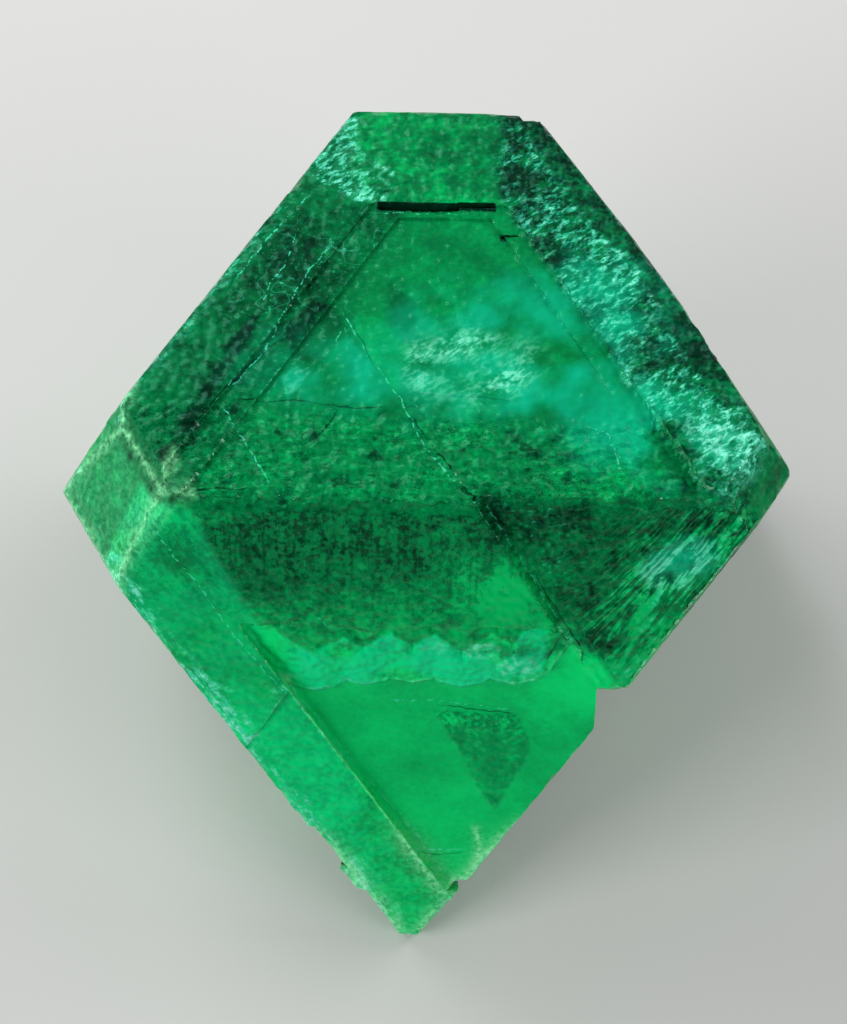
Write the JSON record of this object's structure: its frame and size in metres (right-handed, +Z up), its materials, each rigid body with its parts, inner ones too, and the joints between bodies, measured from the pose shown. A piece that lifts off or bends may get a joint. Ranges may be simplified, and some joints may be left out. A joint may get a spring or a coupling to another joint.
{
  "type": "fluorite octahedron crystal",
  "caption": "Loose green fluorite crystal, a large see-through octahedron with cut corners, split steps and a lobed ledge; a display specimen that rests on a flat cleavage face.",
  "frame": {"origin": "On the surface it rests on, at the flat face it lies on, straight below the crystal's centre.", "axes": "+Z up, square to the resting face and to the large top face. -Y toward the front, where the ledge and the pointed tip are. +X to the right as seen from the front."},
  "size_m": [0.1458, 0.1526, 0.1154],
  "materials": {
    "fluorite": "natural green fluorite, see-through with glassy to etched faces, whitish crackle along edges and cleavage cracks inside"
  },
  "bodies": {
    "root": {"fluorite_crystal": "fluorite"}
  },
  "joints": []
}
